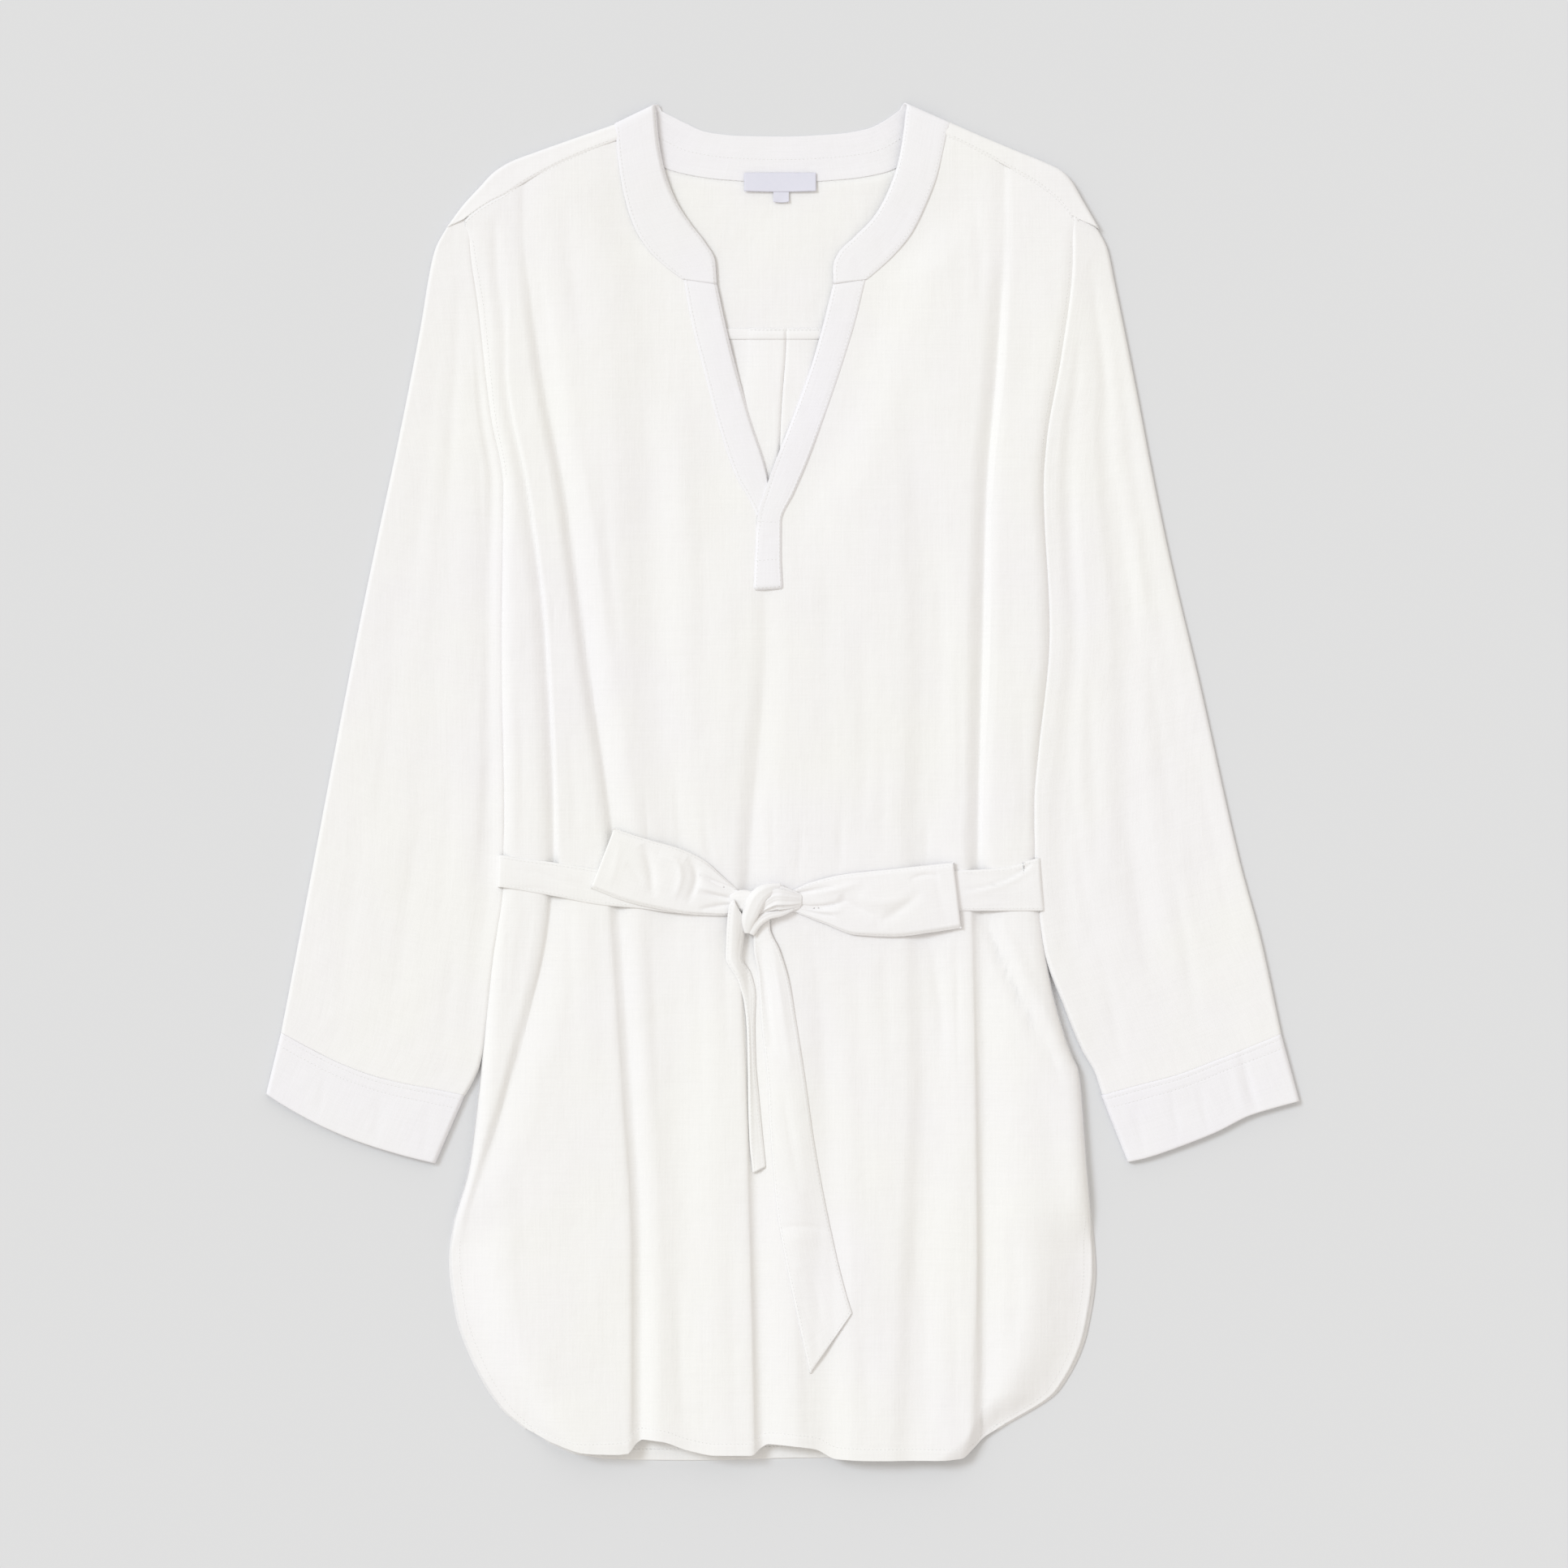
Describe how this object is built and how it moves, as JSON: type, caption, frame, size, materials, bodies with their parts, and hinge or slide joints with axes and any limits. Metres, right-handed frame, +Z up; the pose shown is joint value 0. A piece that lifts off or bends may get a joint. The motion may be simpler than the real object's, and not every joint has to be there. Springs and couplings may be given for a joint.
{
  "type": "tunic blouse",
  "caption": "White linen tunic blouse with long sleeves, banded V neck, shirt-tail hem and a tie belt knotted in a bow, laid flat, face up.",
  "frame": {"origin": "middle of the outline, on the surface that the back rests on", "axes": "+Y from the hem to the neck, +Z up from the surface, +X to the right of a person who looks down at the front"},
  "size_m": [0.6758, 0.8876, 0.0208],
  "materials": {
    "white_linen": "plain-weave linen, matt",
    "label_satin": "woven satin label, soft sheen"
  },
  "bodies": {
    "root": {"back_panel": "white_linen", "back_yoke": "white_linen", "belt_back": "white_linen", "belt_front_left": "white_linen", "belt_front_right": "white_linen", "belt_knot": "white_linen", "belt_tail_long": "white_linen", "belt_tail_short": "white_linen", "bow_loop_left": "white_linen", "bow_loop_right": "white_linen", "cuff_left": "white_linen", "cuff_right": "white_linen", "front_panel": "white_linen", "neck_band": "white_linen", "neck_label": "label_satin", "placket_over": "white_linen", "placket_under": "white_linen", "size_tab": "label_satin", "sleeve_left": "white_linen", "sleeve_right": "white_linen"}
  },
  "joints": []
}
